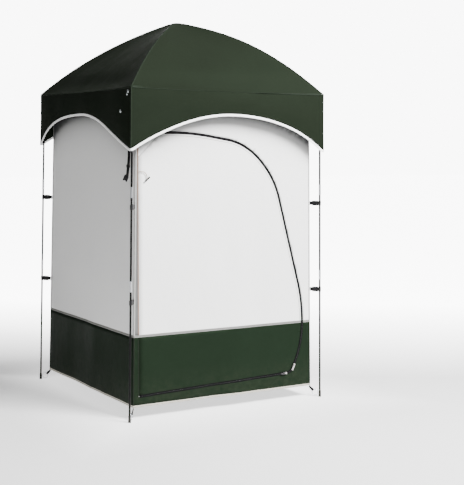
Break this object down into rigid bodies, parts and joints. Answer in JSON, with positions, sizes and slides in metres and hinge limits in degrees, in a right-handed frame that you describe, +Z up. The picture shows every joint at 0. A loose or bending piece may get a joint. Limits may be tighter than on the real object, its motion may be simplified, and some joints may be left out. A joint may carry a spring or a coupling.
{
  "type": "privacy shower tent",
  "caption": "Free-standing privacy shower tent: sectional pole frame, domed canopy with arched valances, hung fabric walls and a zipped door that swings out.",
  "frame": {"origin": "centre of the four feet, on the ground", "axes": "+Z up, the door's wall faces -Y, and the door is sewn along its -X edge"},
  "size_m": [1.24, 1.24, 2.145],
  "materials": {
    "canopy_fabric": "satin",
    "wall_fabric": "matte",
    "band_fabric": "satin",
    "white_binding": "matte",
    "seam_tape": "matte",
    "hem_binding": "matte",
    "pole": "satin",
    "ferrule": "satin",
    "boot": "matte",
    "fittings": "matte",
    "shock_cord": "matte",
    "webbing": "matte",
    "buckle": "satin",
    "zip_tape": "matte",
    "slider": "polished",
    "pull": "satin",
    "ring": "polished",
    "toggle": "satin",
    "tie_elastic": "matte",
    "stud": "polished"
  },
  "bodies": {
    "tent": {"leg_fl": "pole", "leg_fr": "pole", "leg_bl": "pole", "leg_br": "pole", "roof_pole_fl": "pole", "roof_pole_fr": "pole", "roof_pole_bl": "pole", "roof_pole_br": "pole", "pole_ferrules": "ferrule", "foot_boots": "boot", "shock_cords": "shock_cord", "corner_elbows": "fittings", "roof_hub": "fittings", "pole_loops": "fittings", "roof_front": "canopy_fabric", "roof_right": "canopy_fabric", "roof_back": "canopy_fabric", "roof_left": "canopy_fabric", "valance_front": "canopy_fabric", "valance_right": "canopy_fabric", "valance_back": "canopy_fabric", "valance_left": "canopy_fabric", "valance_binding": "white_binding", "canopy_studs": "stud", "canopy_ties": "webbing", "wall_straps": "webbing", "corner_tabs": "webbing", "wall_front": "wall_fabric", "wall_right": "wall_fabric", "wall_back": "wall_fabric", "wall_left": "wall_fabric", "band_front": "band_fabric", "band_sides": "band_fabric", "seam_tape": "seam_tape", "wall_binding": "hem_binding", "zip_tape_wall": "zip_tape", "buckle_sockets": "buckle"},
    "door": {"door_panel": "wall_fabric", "door_band": "band_fabric", "door_seam_tape": "seam_tape", "zip_tape_door": "zip_tape", "tie_loop": "tie_elastic"},
    "slider_side": {"slider_side": "slider"},
    "slider_bottom": {"slider_bottom": "slider"},
    "pull_side": {"pull_side": "pull"},
    "pull_bottom": {"pull_bottom": "pull"},
    "tie_toggle": {"tie_toggle": "toggle"},
    "hanging_strap": {"hanging_strap": "webbing"},
    "corner_ring_fl": {"corner_ring_fl": "ring"},
    "buckle_plug_fl_upper": {"buckle_plug_fl_upper": "buckle"},
    "buckle_plug_fl_lower": {"buckle_plug_fl_lower": "buckle"},
    "corner_ring_fr": {"corner_ring_fr": "ring"},
    "buckle_plug_fr_upper": {"buckle_plug_fr_upper": "buckle"},
    "buckle_plug_fr_lower": {"buckle_plug_fr_lower": "buckle"},
    "corner_ring_bl": {"corner_ring_bl": "ring"},
    "buckle_plug_bl_upper": {"buckle_plug_bl_upper": "buckle"},
    "buckle_plug_bl_lower": {"buckle_plug_bl_lower": "buckle"},
    "corner_ring_br": {"corner_ring_br": "ring"},
    "buckle_plug_br_upper": {"buckle_plug_br_upper": "buckle"},
    "buckle_plug_br_lower": {"buckle_plug_br_lower": "buckle"}
  },
  "joints": [
    {"name": "door_swing", "type": "hinge", "parent": "tent", "child": "door", "pos_m": [-0.537, -0.56595, 0.4], "axis": [0, -0.0151, -0.9999], "range_deg": [0, 105]},
    {"name": "side_slider_run", "type": "hinge", "parent": "door", "child": "slider_side", "pos_m": [-0.019, -0.56544, 0.43311], "axis": [0, -0.9999, 0.0151], "range_deg": [0, 27]},
    {"name": "bottom_slider_run", "type": "slide", "parent": "door", "child": "slider_bottom", "axis": [-0.9994, -0.0005, -0.0334], "range_m": [0, 0.85]},
    {"name": "pull_side_swing", "type": "hinge", "parent": "slider_side", "child": "pull_side", "pos_m": [0.45323, -0.57657, 0.19258], "axis": [-0.891, 0.0068, 0.4539], "range_deg": [0, 160]},
    {"name": "pull_bottom_swing", "type": "hinge", "parent": "slider_bottom", "child": "pull_bottom", "pos_m": [0.394, -0.57718, 0.15221], "axis": [-0.0334, 0.0151, 0.9993], "range_deg": [0, 160]},
    {"name": "toggle_turn", "type": "hinge", "parent": "door", "child": "tie_toggle", "pos_m": [-0.486, -0.55787, 1.268], "axis": [0, -1, 0], "range_deg": [-80, 5]},
    {"name": "buckle_release_fl_upper", "type": "slide", "parent": "tent", "child": "buckle_plug_fl_upper", "axis": [0.7071, 0.7071, 0], "range_m": [0, 0.0135]},
    {"name": "buckle_release_fl_lower", "type": "slide", "parent": "tent", "child": "buckle_plug_fl_lower", "axis": [0.7071, 0.7071, 0], "range_m": [0, 0.0135]},
    {"name": "buckle_release_fr_upper", "type": "slide", "parent": "tent", "child": "buckle_plug_fr_upper", "axis": [-0.7071, 0.7071, 0], "range_m": [0, 0.0135]},
    {"name": "buckle_release_fr_lower", "type": "slide", "parent": "tent", "child": "buckle_plug_fr_lower", "axis": [-0.7071, 0.7071, 0], "range_m": [0, 0.0135]},
    {"name": "buckle_release_bl_upper", "type": "slide", "parent": "tent", "child": "buckle_plug_bl_upper", "axis": [0.7071, -0.7071, 0], "range_m": [0, 0.0135]},
    {"name": "buckle_release_bl_lower", "type": "slide", "parent": "tent", "child": "buckle_plug_bl_lower", "axis": [0.7071, -0.7071, 0], "range_m": [0, 0.0135]},
    {"name": "buckle_release_br_upper", "type": "slide", "parent": "tent", "child": "buckle_plug_br_upper", "axis": [-0.7071, -0.7071, 0], "range_m": [0, 0.0135]},
    {"name": "buckle_release_br_lower", "type": "slide", "parent": "tent", "child": "buckle_plug_br_lower", "axis": [-0.7071, -0.7071, 0], "range_m": [0, 0.0135]},
    {"name": "ring_swing_fl", "type": "hinge", "parent": "tent", "child": "corner_ring_fl", "pos_m": [-0.58337, -0.58337, 0.036], "axis": [-0.5, -0.5, 0.7071], "range_deg": [-75, 75]},
    {"name": "ring_swing_fr", "type": "hinge", "parent": "tent", "child": "corner_ring_fr", "pos_m": [0.58337, -0.58337, 0.036], "axis": [0.5, -0.5, 0.7071], "range_deg": [-75, 75]},
    {"name": "ring_swing_bl", "type": "hinge", "parent": "tent", "child": "corner_ring_bl", "pos_m": [-0.58337, 0.58337, 0.036], "axis": [-0.5, 0.5, 0.7071], "range_deg": [-75, 75]},
    {"name": "ring_swing_br", "type": "hinge", "parent": "tent", "child": "corner_ring_br", "pos_m": [0.58337, 0.58337, 0.036], "axis": [0.5, 0.5, 0.7071], "range_deg": [-75, 75]},
    {"name": "strap_swing", "type": "hinge", "parent": "tent", "child": "hanging_strap", "pos_m": [-0.60175, -0.578, 1.438], "axis": [1, 0, 0], "range_deg": [0, 50]}
  ]
}
